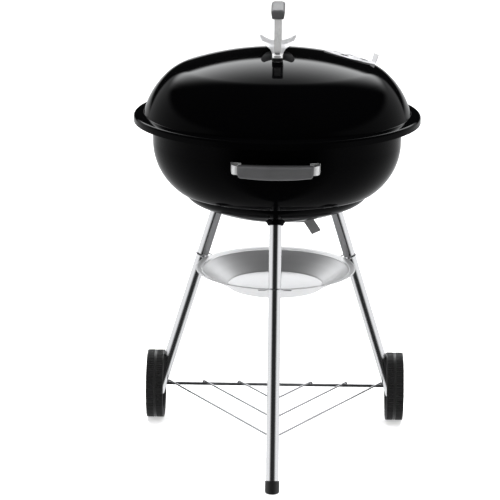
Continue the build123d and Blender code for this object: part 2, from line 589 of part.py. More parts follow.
def beside_wall(x, off):
    """Distance from the kettle's axis plane of a point off the bowl's wall, at a given x."""
    return sqrt((BOWL_AT_HANDLE_R + off) ** 2 - x * x)


for name, turn in (("front", 0), ("rear", 180)):
    level = Plane.XY.offset(SIDE_TOP_Z - SIDE_STRAP_H).rotated((0, 0, turn))
    half_strap = [(SIDE_TAB_X, -beside_wall(SIDE_TAB_X, TAB_OUT)),
                  (SIDE_ROOT_X, -beside_wall(SIDE_ROOT_X, TAB_OUT)), (SIDE_ROOT_X - 3, -SIDE_REACH)]
    with BuildPart() as side_strap:
        with BuildSketch(level):
            with BuildLine() as side_line:
                FilletPolyline(*half_strap, *[(-x, y) for x, y in reversed(half_strap)],
                               radius=[3.0, 11.0, 11.0, 3.0])
            trace(side_line.line, line_width=SIDE_STRAP_T)
        extrude(amount=SIDE_STRAP_H)
        for angle in SIDE_BOLT_TURNS:
            with BuildSketch(bowl_bolt_plane(angle, BOWL_AT_HANDLE_R)):
                Circle(SIDE_BOLT_R + TOUCH)
            extrude(amount=12, mode=Mode.SUBTRACT)
    save(side_strap.part, f"side_strap_{name}")

    with BuildPart() as side_grip:
        with BuildSketch(Plane.XY.offset(SIDE_GRIP_LOW_Z).rotated((0, 0, turn))):
            with Locations((0, -(SIDE_GRIP_IN + SIDE_GRIP_OUT) / 2)):
                RectangleRounded(2 * SIDE_GRIP_HALF, SIDE_GRIP_OUT - SIDE_GRIP_IN, 9)
        extrude(amount=SIDE_TOP_Z - SIDE_GRIP_LOW_Z + 1.5)
        chamfer(side_grip.edges().group_by(Axis.Z)[0], length=2.5)
        fillet(side_grip.edges().group_by(Axis.Z)[-1], radius=2.0)
        with BuildSketch(level.offset(-TOUCH)):
            with BuildLine() as slot_line:
                FilletPolyline(*half_strap, *[(-x, y) for x, y in reversed(half_strap)],
                               radius=[3.0, 11.0, 11.0, 3.0])
            trace(slot_line.line, line_width=SIDE_STRAP_T + 2 * TOUCH)
        extrude(amount=SIDE_STRAP_H + 2 * TOUCH, mode=Mode.SUBTRACT)
    save(side_grip.part, f"side_grip_{name}")

    with BuildPart() as bracket:
        with BuildSketch(level):
            for sign in (-1, 1):
                with BuildLine():
                    Polyline(*[(sign * x, -beside_wall(x, off)) for x, off in
                               ((SIDE_TAB_X, 0.3), (SIDE_TAB_X, SPACER_OUT), (SIDE_ROOT_X - 1, SPACER_OUT),
                                (SIDE_ROOT_X - 1, 0.3))], close=True)
                make_face()
        extrude(amount=SIDE_STRAP_H)
        for angle in SIDE_BOLT_TURNS:
            with BuildSketch(bowl_bolt_plane(angle, BOWL_AT_HANDLE_R - 2)):
                Circle(SIDE_BOLT_R + TOUCH)
            extrude(amount=10, mode=Mode.SUBTRACT)
    save(bracket.part, f"handle_bracket_{name}")

with BuildPart() as side_bolts:
    for angle in SIDE_BOLT_TURNS:
        head = bowl_bolt_plane(angle, BOWL_AT_HANDLE_R + TAB_OUT + SIDE_STRAP_T / 2 + TOUCH)
        with BuildSketch(head):
            Circle(SIDE_BOLT_R)
        extrude(amount=-16)
        with BuildSketch(head):
            RegularPolygon(4.6, 6)
        extrude(amount=2.4)
        with BuildSketch(bowl_bolt_plane(angle, BOWL_AT_HANDLE_R - SHEET - 1.2)):
            RegularPolygon(4.6, 6)
        extrude(amount=-4)
save(side_bolts.part, "side_handle_bolts")

# ---- grates and the lid's inner hook ---------------------------------------------------------------
COOK_R, COOK_RING_R, COOK_WIRE_R, COOK_PITCH = 268.0, 3.0, 2.5, 18.0
COAL_R, COAL_RING_R, COAL_WIRE_R, COAL_PITCH = 198.5, 3.0, 3.0, 24.0
cook_z = LEDGE_Z + SHEET + COOK_RING_R + 0.4
coal_z = STEP[1] + SHEET + COAL_RING_R + 0.4
for name, ring_r, ring_wire, wire_r, pitch, z in (
        ("cooking_grate", COOK_R, COOK_RING_R, COOK_WIRE_R, COOK_PITCH, cook_z),
        ("charcoal_grate", COAL_R, COAL_RING_R, COAL_WIRE_R, COAL_PITCH, coal_z)):
    count = 2 * int((ring_r - 12) / pitch) + 1
    wires_z = z + 0.9 * (ring_wire + wire_r)     # the wires lie on the ring, and rods cross below them
    with BuildPart() as grate:
        with BuildSketch(Plane.XZ):
            with Locations((0, wires_z)):
                with GridLocations(pitch, 1, count, 1):
                    Circle(wire_r)
        extrude(amount=ring_r, both=True)
        with BuildSketch(Plane.XY.offset(z - 20)):
            Circle(ring_r)
        extrude(amount=40, mode=Mode.INTERSECT)
        with BuildSketch(Plane.YZ):
            with Locations(*[(side * ring_r * 0.45, wires_z - 1.8 * wire_r) for side in (-1, 1)]):
                Circle(wire_r)
        extrude(amount=ring_r * 0.892, both=True)
        with BuildSketch(Plane.XZ):
            with Locations((ring_r, z)):
                Circle(ring_wire)
        revolve(axis=Axis.Z)
    save(grate.part, name)
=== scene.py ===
from math import acos, asin, cos, pi, radians, sin

import bmesh
import bpy
from bpy.props import FloatProperty, FloatVectorProperty, IntProperty, PointerProperty
from mathutils import Matrix, Vector


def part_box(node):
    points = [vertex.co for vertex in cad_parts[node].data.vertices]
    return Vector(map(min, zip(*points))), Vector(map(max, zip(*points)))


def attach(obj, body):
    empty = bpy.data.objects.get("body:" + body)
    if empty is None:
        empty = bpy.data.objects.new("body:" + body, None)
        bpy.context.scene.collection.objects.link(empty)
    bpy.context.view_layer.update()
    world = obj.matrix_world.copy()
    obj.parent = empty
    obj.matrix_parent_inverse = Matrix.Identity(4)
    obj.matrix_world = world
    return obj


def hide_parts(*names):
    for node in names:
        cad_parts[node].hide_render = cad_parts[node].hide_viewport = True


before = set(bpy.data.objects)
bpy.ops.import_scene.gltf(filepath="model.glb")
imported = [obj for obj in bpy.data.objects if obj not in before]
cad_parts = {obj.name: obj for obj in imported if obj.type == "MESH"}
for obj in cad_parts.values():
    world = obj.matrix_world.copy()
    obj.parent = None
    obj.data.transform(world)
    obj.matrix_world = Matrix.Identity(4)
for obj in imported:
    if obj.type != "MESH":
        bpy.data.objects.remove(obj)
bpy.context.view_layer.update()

bl_info = {
    "name": "Kettle Charcoal Grill",
    "version": (1, 0, 0),
    "blender": (4, 5, 0),
    "location": "View3D > Sidebar > Grill",
    "description": "Builds a kettle grill on a wheeled tripod, with its finishes and a studio stage",
    "category": "Object",
}

MM = 0.001
SHEET = 1.2
# the kettle's vertical axis, and the right wheel's axle
KETTLE = (Vector(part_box("lid_shell")[0]) + Vector(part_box("lid_shell")[1])) / 2
KETTLE.z = 0
WHEEL = (Vector(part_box("wheel_right")[0]) + Vector(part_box("wheel_right")[1])) / 2


# ---- sections and solids -----------------------------------------------------------------------
def steps(first, last, count):
    return [first + (last - first) * k / count for k in range(count + 1)]


def swing(mid, radius, first, last, count):
    """Points of a circle in a section, at angles from straight up."""
    return [(mid[0] + radius * sin(a), mid[1] + radius * cos(a)) for a in steps(first, last, count)]


def eased(corners, radii, count=6):
    """An open section line whose inner corners are rounded."""
    line = [corners[0]]
    for before, corner, after, radius in zip(corners, corners[1:], corners[2:], radii):
        here = Vector(corner)
        back, ahead = (Vector(before) - here).normalized(), (Vector(after) - here).normalized()
        half = back.angle(ahead) / 2
        if radius <= 0 or half > 1.565:
            line.append(corner)
            continue
        mid = here + (back + ahead).normalized() * (radius / sin(half))
        start = here + back * (radius * cos(half) / sin(half)) - mid
        end = here + ahead * (radius * cos(half) / sin(half)) - mid
        for share in steps(0, 1, count):
            line.append(tuple(mid + start.slerp(end, share) * radius))
    line.append(corners[-1])
    return line


def new_piece(name, mesh_maker, sharp=35):
    """A smooth-shaded object from a bmesh, with edges over the sharp angle left crisp."""
    mesh = bpy.data.meshes.new(name)
    shape = bmesh.new()
    mesh_maker(shape)
    bmesh.ops.recalc_face_normals(shape, faces=shape.faces)
    shape.to_mesh(mesh)
    shape.free()
    mesh.shade_smooth()
    mesh.set_sharp_from_angle(angle=radians(sharp))
    piece = bpy.data.objects.new(name, mesh)
    bpy.context.scene.collection.objects.link(piece)
    return piece


def bridge(shape, one, other):
    """Faces between two rings of vertices, where a ring of one vertex is a pole."""
    count = max(len(one), len(other))
    if count == 1:
        return
    for k in range(count):
        a, b = one[k % len(one)], one[(k + 1) % len(one)]
        c, d = other[(k + 1) % len(other)], other[k % len(other)]
        shape.faces.new([v for i, v in enumerate((a, b, c, d)) if v not in (a, b, c, d)[:i]])


def turned(name, section, place=None, turns=288, ripple=None, sharp=35):
    """A solid turned about Z from a closed section of (radius, height) in millimetres."""
    place = place or Matrix.Translation(KETTLE)

    def make(shape):
        rings = []
        for index, (radius, height) in enumerate(section):
            if radius < 1e-6:
                rings.append([shape.verts.new(place @ Vector((0, 0, height * MM)))])
                continue
            ring = []
            for k in range(turns):
                angle = 2 * pi * k / turns
                reach = (radius - (ripple(index, angle) if ripple else 0)) * MM
                point = Vector((reach * cos(angle), reach * sin(angle), height * MM))
                ring.append(shape.verts.new(place @ point))
            rings.append(ring)
        for one, other in zip(rings, rings[1:] + rings[:1]):
            bridge(shape, one, other)

    return new_piece(name, make, sharp)


def lofted(name, rings, place=None, sharp=35):
    """A solid through rings of points, closed at both ends."""
    place = place or Matrix.Identity(4)

    def make(shape):
        loops = [[shape.verts.new(place @ Vector(point)) for point in ring] for ring in rings]
        for one, other in zip(loops, loops[1:]):
            bridge(shape, one, other)
        shape.faces.new(loops[0])
        shape.faces.new(list(reversed(loops[-1])))

    return new_piece(name, make, sharp)


def round_box(half_w, low, high, corners, count=5):
    """Ring of (across, height) points of a box whose two lower and two upper corners are rounded."""
    low_r, high_r = corners
    ring = []
    for sx, z, r, start in ((1, low, low_r, -pi / 2), (1, high, high_r, 0), (-1, high, high_r, pi / 2),
                            (-1, low, low_r, pi)):
        mid = (sx * (half_w - r), z + r if z == low else z - r)
        ring += [(mid[0] + r * cos(a), mid[1] + r * sin(a)) for a in steps(start, start + pi / 2, count)]
    return ring


def cut(piece, *tools):
    """Take the tools' solids out of a piece, and delete the tools."""
    for tool in tools:
        hole = piece.modifiers.new("hole", "BOOLEAN")
        hole.object, hole.operation, hole.solver = tool, "DIFFERENCE", "EXACT"
    bpy.context.view_layer.update()
    solid = bpy.data.meshes.new_from_object(piece.evaluated_get(bpy.context.evaluated_depsgraph_get()))
    piece.modifiers.clear()
    piece.data = solid
    for tool in tools:
        bpy.data.objects.remove(tool)
    if not solid.polygons:
        raise RuntimeError(f"{piece.name} is empty after its holes were cut")


def drill(radius, low, high, place, stretch=0.0):
    """A straight rod, or a slot's block when stretched, to cut a hole with."""
    def make(shape):
        outline = [(radius * cos(a) + (stretch if cos(a) > 0 else -stretch), radius * sin(a))
                   for a in [2 * pi * (k + 0.5) / 48 for k in range(48)]]
        loops = [[shape.verts.new(place @ Vector((x * MM, y * MM, z * MM))) for x, y in outline]
                 for z in (low, high)]
        bridge(shape, *loops)
        shape.faces.new(loops[0])
        shape.faces.new(list(reversed(loops[1])))

    return new_piece("drill", make)


# ---- materials ---------------------------------------------------------------------------------
class Wire:
    """One output of a tree's nodes, so that maths on it is written as expressions."""

    def __init__(self, nodes, socket):
        self.nodes, self.socket = nodes, socket

    def maths(self, operation, *values):
        return self.nodes.node("ShaderNodeMath", {"operation": operation}, dict(enumerate(values)))

    def __add__(self, other):
        return self.maths("ADD", self, other)

    def __sub__(self, other):
        return self.maths("SUBTRACT", self, other)

    def __rsub__(self, other):
        return self.maths("SUBTRACT", other, self)

    def __mul__(self, other):
        return self.maths("MULTIPLY", self, other)

    def __truediv__(self, other):
        return self.maths("DIVIDE", self, other)

    def __pow__(self, other):
        return self.maths("POWER", self, other)

    __radd__ = __add__
    __rmul__ = __mul__


class Nodes:
    """A node tree, and the one method that makes its nodes."""

    def __init__(self, tree):
        self.tree = tree
    def node(self, kind, settings=None, sockets=None, output=0):
        """One node: its settings first, then its sockets' values or links. Returns one output."""
        node = self.tree.nodes.new(kind)
        for setting, value in (settings or {}).items():
            setattr(node, setting, value)
        for socket, value in (sockets or {}).items():
            if isinstance(value, Wire):
                self.tree.links.new(value.socket, node.inputs[socket])
            else:
                node.inputs[socket].default_value = value
        return Wire(self, node.outputs[output])


class Finish(Nodes):
    """A material with one Principled shader, whose plain numbers are set on its own sockets."""

    def __init__(self, name, **plain):
        self.material = bpy.data.materials.new(name)
        self.material.use_nodes = True
        super().__init__(self.material.node_tree)
        self.tree.nodes.clear()
        self.shader = self.tree.nodes.new("ShaderNodeBsdfPrincipled")
        output = self.tree.nodes.new("ShaderNodeOutputMaterial")
        self.tree.links.new(self.shader.outputs[0], output.inputs[0])
        for socket, value in plain.items():
            self.shader.inputs[socket.replace("_", " ")].default_value = value

    def feed(self, socket, wire):
        self.tree.links.new(wire.socket, self.shader.inputs[socket])

    def place(self, scale=(1, 1, 1), turn=(0, 0, 0)):
        """Places on the piece in metres, stretched and turned."""
        at = self.node("ShaderNodeTexCoord", output="Object")
        return self.node("ShaderNodeMapping", None, {"Vector": at, "Rotation": turn, "Scale": scale})

    def noise(self, size, detail=2.0, place=None, roughness=0.5):
        return self.node("ShaderNodeTexNoise", {"noise_dimensions": "3D"},
                         {"Vector": place or self.place(), "Scale": size, "Detail": detail,
                          "Roughness": roughness})

    def between(self, share, low, high):
        """Low where the share is 0 and high where it is 1."""
        return share * (high - low) + low

    def tint(self, share, dark, light):
        """Colour between dark and light by a share, as a colour mix."""
        return self.node("ShaderNodeMix", {"data_type": "RGBA"},
                         {"Factor": share, "A": (*dark, 1), "B": (*light, 1)}, output=2)

    def emboss(self, height, depth):
        """Bump the surface by a height of 0 to 1, over a depth in metres."""
        self.feed("Normal", self.node("ShaderNodeBump", None, {"Height": height, "Strength": 1.0,
                                                               "Distance": depth}))

    def from_axis(self, middle):
        """Distance in metres from an upright axis through a point."""
        away = self.node("ShaderNodeVectorMath", {"operation": "SUBTRACT"},
                         {0: self.node("ShaderNodeTexCoord", output="Object"), 1: tuple(middle)})
        flat = self.node("ShaderNodeVectorMath", {"operation": "MULTIPLY"}, {0: away, 1: (1, 1, 0)})
        return self.node("ShaderNodeVectorMath", {"operation": "LENGTH"}, {0: flat}, output="Value")


def shade(color, factor):
    return tuple(c * factor for c in color)


def enamel():
    """Black porcelain enamel: deep gloss, a faint orange-peel ripple, and a little settled haze."""
    tone = tuple(bpy.context.scene.grill_finishes.enamel)
    finish = Finish("black_enamel", Metallic=0.0, Coat_Weight=0.0, Specular_IOR_Level=0.02)
    haze = finish.noise(6.0, 4.0)
    speck = finish.noise(700.0, 2.0)
    finish.feed("Base Color", finish.tint(haze, shade(tone, 0.7), shade(tone, 1.3)))
    finish.feed("Roughness", finish.between(haze * 0.7 + speck * 0.3, 0.03, 0.08))
    finish.emboss(finish.noise(95.0, 1.0), 0.00002)
    return finish.material


def bright_tube():
    """Plated steel tube with fine drawing lines along it."""
    tone = tuple(bpy.context.scene.grill_finishes.tube)
    finish = Finish("bright_tube", Metallic=1.0)
    drawn = finish.noise(1.0, 4.0, finish.place((700, 700, 9)))
    cloud = finish.noise(22.0, 3.0)
    finish.feed("Base Color", finish.tint(cloud, shade(tone, 0.9), tone))
    finish.feed("Roughness", finish.between(drawn * 0.5 + cloud * 0.5, 0.12, 0.27))
    finish.emboss(drawn, 0.000012)
    return finish.material


def wire_steel(name, tone, low, high):
    """Plated or bare wire, with streaks along it and small dull patches."""
    finish = Finish(name, Metallic=1.0)
    patch = finish.noise(140.0, 4.0)
    streak = finish.noise(1.0, 3.0, finish.place((60, 60, 60)))
    finish.feed("Base Color", finish.tint(patch, shade(tone, 0.78), shade(tone, 1.1)))
    finish.feed("Roughness", finish.between(patch * 0.6 + streak * 0.4, low, high))
    finish.emboss(finish.noise(900.0, 2.0), 0.00003)
    return finish.material


def spun_aluminium():
    """Satin sheet with rings round the kettle's axis, as it leaves a spinning lathe."""
    tone = tuple(bpy.context.scene.grill_finishes.aluminium)
    finish = Finish("spun_aluminium", Metallic=0.3)
    radius = finish.from_axis(KETTLE)
    rings = finish.node("ShaderNodeTexNoise", {"noise_dimensions": "1D"},
                        {"W": radius * 900.0, "Scale": 1.0, "Detail": 3.0})
    broad = finish.node("ShaderNodeTexNoise", {"noise_dimensions": "1D"},
                        {"W": radius * 60.0, "Scale": 1.0, "Detail": 2.0})
    cloud = finish.noise(9.0, 3.0)
    wear = cloud * 0.6 + broad * 0.4
    finish.feed("Base Color", finish.tint(wear, shade(tone, 0.56), shade(tone, 0.72)))
    finish.feed("Roughness", finish.between(rings * 0.5 + cloud * 0.5, 0.34, 0.5))
    finish.emboss(rings, 0.00002)
    return finish.material


def brushed_sheet(name, tone, low, high, metallic):
    """Sheet or strap with straight brushing lines."""
    finish = Finish(name, Metallic=metallic)
    lines = finish.noise(1.0, 3.0, finish.place((900, 14, 900)))
    cloud = finish.noise(30.0, 3.0)
    finish.feed("Base Color", finish.tint(cloud, shade(tone, 0.85), tone))
    finish.feed("Roughness", finish.between(lines * 0.6 + cloud * 0.4, low, high))
    finish.emboss(lines, 0.000015)
    return finish.material


def moulded(name, tone, low, high, grain=2200.0):
    """Moulded plastic: spark-eroded grain, with slightly shinier worn spots."""
    finish = Finish(name, Metallic=0.0, Specular_IOR_Level=0.45)
    pits = finish.noise(grain, 3.0, roughness=0.65)
    cloud = finish.noise(45.0, 3.0)
    finish.feed("Base Color", finish.tint(cloud * 0.6 + pits * 0.4, shade(tone, 0.75), shade(tone, 1.2)))
    finish.feed("Roughness", finish.between(cloud * 0.5 + pits * 0.5, low, high))
    finish.emboss(pits, 0.00006)
    return finish.material


def painted(name, tone, low, high):
    """Sprayed satin paint with a fine speckle."""
    finish = Finish(name, Metallic=0.35, Specular_IOR_Level=0.5)
    speck = finish.noise(1300.0, 2.0)
    cloud = finish.noise(25.0, 3.0)
    finish.feed("Base Color", finish.tint(speck, shade(tone, 0.85), shade(tone, 1.15)))
    finish.feed("Roughness", finish.between(cloud, low, high))
    finish.emboss(speck, 0.00002)
    return finish.material


FINISHES = {}


def finish(slot):
    """The material of a slot of the record, made when it is first asked for."""
    colours = bpy.context.scene.grill_finishes
    makers = {
        "black_enamel": enamel,
        "bright_tube": bright_tube,
        "plated_steel": lambda: wire_steel("plated_steel", tuple(colours.plating), 0.28, 0.45),
        "spring_wire": lambda: wire_steel("spring_wire", tuple(colours.spring), 0.16, 0.3),
        "grate_steel": lambda: wire_steel("grate_steel", tuple(colours.spring), 0.18, 0.34),
        "handle_steel": lambda: brushed_sheet("handle_steel", tuple(colours.strap), 0.2, 0.36, 0.3),
        "aluminium_sheet": spun_aluminium,
        "vent_sheet": lambda: brushed_sheet("vent_sheet", tuple(colours.aluminium), 0.22, 0.4, 0.75),
        "grey_lever": lambda: painted("grey_lever", tuple(colours.lever), 0.35, 0.5),
        "grey_nylon": lambda: moulded("grey_nylon", tuple(colours.nylon), 0.4, 0.6),
        "black_plastic": lambda: moulded("black_plastic", tuple(colours.plastic), 0.35, 0.55),
        "wheel_plastic": lambda: moulded("wheel_plastic", tuple(colours.wheel), 0.38, 0.6, 1400.0),
    }
    if slot not in FINISHES:
        FINISHES[slot] = makers[slot]()
    return FINISHES[slot]


def dress(material, *nodes):
    """Give CAD nodes a finish."""
    for name in nodes:
        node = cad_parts[name]
        if not node.material_slots:
            node.data.materials.append(material)
        for slot in node.material_slots:
            slot.link = "OBJECT"
            slot.material = material


def fit(piece, body, slot, *nodes):
    """Finish a new piece, and put it on its body in place of CAD nodes."""
    piece.data.materials.clear()
    piece.data.materials.append(finish(slot))
    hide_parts(*nodes)
    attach(piece, body)


# ---- shells ------------------------------------------------------------------------------------
CROWN_R, CROWN_TOP, CROWN_EDGE_R = 602.0, 834.4, 193.0
SHOULDER_R, SHOULDER_EDGE_R = 94.2, 227.4
SIDE_R, SIDE_EDGE_Z = 158.6, 712.0
LIP_R, LIP_BOTTOM, FLANGE_Z, FLANGE_FALL = 292.5, 691.8, 707.5, 2.0
DAMPER_TILT, DAMPER_TURN = radians(15.3), radians(22.0)
VENT_HOLES, VENT_HOLE_R, VENT_RING_R = 4, 9.5, 31
DISH_R, DISH_BOTTOM, DISH_EDGE_R = 402.0, 486.8, 170.5
HEEL_R, HEEL_TOP_Z = 44.1, 550.3
WALL_MID, WALL_R, WALL_LOW_Z, WALL_HIGH_Z = (131.3, 648.8), 122.4, 550.9, 652.0
LEDGE_Z, LEDGE_R, RIM_R, RIM_TOP_Z, RIM_BEAD_R = 692.0, 255.5, 279.0, 704.8, 3.0
SLOTS, SLOT_MID_R, SLOT_HALF_W, SLOT_STRETCH = 3, 70, 13.0, 9.0
WHEEL_R, BORE_R = 73.3, 3.55


def lid_line(inset):
    """The lid's section from its top to its lip, an inset inside its outer face."""
    crown_mid = (0, CROWN_TOP - CROWN_R)
    crown_tilt = asin(CROWN_EDGE_R / CROWN_R)
    shoulder_mid = swing(crown_mid, CROWN_R - SHOULDER_R, crown_tilt, crown_tilt, 1)[0]
    shoulder_tilt = asin((SHOULDER_EDGE_R - shoulder_mid[0]) / SHOULDER_R)
    side_mid = swing(shoulder_mid, SHOULDER_R - SIDE_R, shoulder_tilt, shoulder_tilt, 1)[0]
    side_tilt = acos((SIDE_EDGE_Z - side_mid[1]) / SIDE_R)
    line = swing(crown_mid, CROWN_R - inset, 0, crown_tilt, 40)
    line += swing(shoulder_mid, SHOULDER_R - inset, crown_tilt, shoulder_tilt, 16)[1:]
    line += swing(side_mid, SIDE_R - inset, shoulder_tilt, side_tilt, 18)[1:]
    side = line[-1]
    turn = (side[0] + 1.6, FLANGE_Z + side[1] - SIDE_EDGE_Z - inset)
    corner = (LIP_R - inset, FLANGE_Z - FLANGE_FALL - inset)
    flange = [side, turn, corner, (LIP_R - inset, LIP_BOTTOM)]
    return line[:-1] + eased(flange, [2.0 + inset, 6.0 - inset], 8)


def bowl_line(inset):
    """The bowl's section from its bottom to its rim, an inset inside its outer face."""
    dish_mid = (0, DISH_BOTTOM + DISH_R)
    dish_tilt = pi - asin(DISH_EDGE_R / DISH_R)
    heel_mid = swing(dish_mid, DISH_R - HEEL_R, dish_tilt, dish_tilt, 1)[0]
    heel_end = pi / 2 + asin((heel_mid[1] - HEEL_TOP_Z) / HEEL_R)
    wall_start = pi / 2 + asin((WALL_MID[1] - WALL_LOW_Z) / WALL_R)
    wall_end = acos((WALL_HIGH_Z - WALL_MID[1]) / WALL_R)
    line = swing(dish_mid, DISH_R - inset, pi, dish_tilt, 30)
    line += swing(heel_mid, HEEL_R - inset, dish_tilt, heel_end, 14)[1:]
    heel = line.pop()
    wall = swing(WALL_MID, WALL_R - inset, wall_start, wall_end, 30)
    before = line[-1]
    line += eased([before, heel, wall[0], wall[1]], [0.0, 0.0])[1:-1]
    line += wall[1:-1]
    end_z = RIM_TOP_Z - (4.0 if inset else 5.5)
    return line + eased([wall[-1], (LEDGE_R - inset, LEDGE_Z + inset),
                         (RIM_R - 0.2 - inset, LEDGE_Z + inset), (RIM_R - inset, end_z)], [5.0, 3.0])


class GRILL_OT_lid(bpy.types.Operator):
    """Turn the lid's shell and cut its vent holes"""

    bl_idname = "grill.lid"
    bl_label = "Lid shell"

    def execute(self, context):
        sizes = context.scene.grill_sizes
        outer, inner = lid_line(0), lid_line(SHEET)
        lid = turned("lid", outer + inner[::-1], turns=sizes.turn_steps, sharp=50)
        seat = (Matrix.Translation(KETTLE + Vector((0, 0, (CROWN_TOP - CROWN_R) * MM)))
                @ Matrix.Rotation(DAMPER_TURN, 4, "Z") @ Matrix.Rotation(DAMPER_TILT, 4, "Y"))
        holes = []
        for k in range(VENT_HOLES):
            around = 2 * pi * (k + 0.5) / VENT_HOLES
            off = Vector((VENT_RING_R * cos(around), VENT_RING_R * sin(around), 0)) * MM
            holes.append(drill(VENT_HOLE_R, CROWN_R - 15, CROWN_R + 10, seat @ Matrix.Translation(off)))
        cut(lid, *holes)
        fit(lid, "lid", "black_enamel", "lid_shell")
        return {"FINISHED"}


class GRILL_OT_bowl(bpy.types.Operator):
    """Turn the bowl's shell, roll its rim and cut its bottom vent slots"""

    bl_idname = "grill.bowl"
    bl_label = "Bowl shell"

    def execute(self, context):
        sizes = context.scene.grill_sizes
        outer, inner = bowl_line(0), bowl_line(SHEET)
        bead_mid = (RIM_R + RIM_BEAD_R - SHEET, RIM_TOP_Z - RIM_BEAD_R)
        bead = swing(bead_mid, RIM_BEAD_R, pi * 1.2, -pi * 0.6, 20)
        bowl = turned("bowl", outer + bead + inner[::-1], turns=sizes.turn_steps, sharp=50)
        slots = []
        for k in range(SLOTS):
            place = (Matrix.Translation(KETTLE) @ Matrix.Rotation(radians(330 + 360 / SLOTS * k), 4, "Z")
                     @ Matrix.Translation(Vector((SLOT_MID_R, 0, 0)) * MM))
            slots.append(drill(SLOT_HALF_W, DISH_BOTTOM - 16.8, DISH_BOTTOM + 23.2, place, SLOT_STRETCH))
        cut(bowl, *slots)
        fit(bowl, "frame", "black_enamel", "bowl_shell")
        dress(finish("black_enamel"), "leg_socket_front", "leg_socket_right", "leg_socket_left",
              "handle_bracket_front", "handle_bracket_rear")
        return {"FINISHED"}


class GRILL_OT_tripod(bpy.types.Operator):
    """Finish the legs, the foot cap, the axle and its caps"""

    bl_idname = "grill.tripod"
    bl_label = "Tripod"

    def execute(self, context):
        dress(finish("bright_tube"), "leg_front", "leg_right", "leg_left")
        dress(finish("black_plastic"), "foot_cap", "hub_cap_left", "hub_cap_right")
        dress(finish("plated_steel"), "axle")
        return {"FINISHED"}


class GRILL_OT_wheels(bpy.types.Operator):
    """Turn both wheels, with two bands of tread ribs"""

    bl_idname = "grill.wheels"
    bl_label = "Wheels"

    def execute(self, context):
        sizes = context.scene.grill_sizes
        r = WHEEL_R
        outline = eased([(r - 5.3, 242.8), (r - 2, 239.4), (r, 240.6), (r, 242.2)], [1.0, 1.0], 4)
        ribbed = set()
        for first, last in ((243.0, 254.6), (261.4, 273.6)):
            band = [(r - 0.5, first - 0.5), (r, first), (r, (first + last) / 2), (r, last),
                    (r - 0.5, last + 0.5)]
            ribbed.update(range(len(outline) + 1, len(outline) + 4))
            outline += band
            if last < 260:
                outline += [(r - 0.5, 255.8), (r - 0.1, 256.2), (r - 0.1, 259.8), (r - 0.5, 260.2)]
        # the outer face from tread to bore, then the inner side from bore to tread
        outline += eased([(r - 0.5, 274.6), (r, 275.0), (r, 276.6), (r - 5.3, 276.6), (63.6, 273.4),
                          (56, 273.4), (55, 274.4), (50, 274.4), (49, 273.4), (19, 273.4), (17, 275.4),
                          (11.5, 276.2), (BORE_R, 276.2)],
                         [0.3, 0.8, 0.8, 2.4, 0.6, 0.6, 0.6, 0.6, 1.0, 1.0, 0.4], 4)
        outline += eased([(BORE_R, 268.8), (11.5, 268.8), (11.5, 270.4), (64, 270.4), (66.6, 268.0),
                          (r - 5.3, 244.0)], [0.4, 0.3, 1.5, 1.5], 4)

        def ribs(index, angle):
            if index not in ribbed:
                return 0
            return sizes.rib_depth / MM * min(1, max(0, 0.5 + 1.4 * cos(angle * sizes.ribs)))

        for name, sign in (("left", -1), ("right", 1)):
            place = (Matrix.Translation((0, WHEEL.y, WHEEL.z))
                     @ Matrix.Rotation(sign * pi / 2, 4, "Y"))
            wheel = turned(f"rolling_wheel_{name}", outline, place, sizes.ribs * 8, ribs, sharp=30)
            fit(wheel, f"wheel_{name}", "wheel_plastic", f"wheel_{name}")
        return {"FINISHED"}


class GRILL_OT_shelf(bpy.types.Operator):
    """Finish the wire shelf"""

    bl_idname = "grill.shelf"
    bl_label = "Wire shelf"

    def execute(self, context):
        dress(finish("plated_steel"), "shelf_wire_outer", "shelf_wire_middle", "shelf_wire_inner",
              "shelf_spine")
        return {"FINISHED"}


class GRILL_OT_ash_catcher(bpy.types.Operator):
    """Turn the ash dish with its bead and rolled edge, and finish its clips"""

    bl_idname = "grill.ash_catcher"
    bl_label = "Ash catcher"

    def execute(self, context):
        sizes = context.scene.grill_sizes
        rim_z, thick, bead = 378.7, 1.0, sizes.dish_bead / MM
        # floor, crease, wall, bead and flange
        line = eased([(0, 334.4), (96.5, 341.4), (98.5, 341.0), (101.5, 343.6), (149.2, 373.4),
                      (150.6, 373.6 + bead), (152.4, 373.8 + bead), (154.2, 374.6),
                      (163.8, rim_z + 0.2)],
                     [0.8, 0.9, 1.0, 0.6, 0.6, 0.6, 0.8], 5)
        roll = swing((164.4, rim_z - 1.1), 1.3, -0.2, pi * 1.15, 10)
        under = [(x, z - thick) for x, z in line]
        dish = turned("ash_dish", line + roll + under[::-1], turns=sizes.turn_steps, sharp=50)
        fit(dish, "frame", "aluminium_sheet", "ash_catcher")
        dress(finish("spring_wire"), "ash_clip_front", "ash_clip_right", "ash_clip_left")
        return {"FINISHED"}


class GRILL_OT_vents(bpy.types.Operator):
    """Finish the lid's damper and the bottom vent with its lever"""

    bl_idname = "grill.vents"
    bl_label = "Vents"

    def execute(self, context):
        dress(finish("vent_sheet"), "damper_disc", "damper_rivet", "vent_blades")
        dress(finish("grey_lever"), "vent_lever")
        dress(finish("plated_steel"), "vent_shaft")
        return {"FINISHED"}


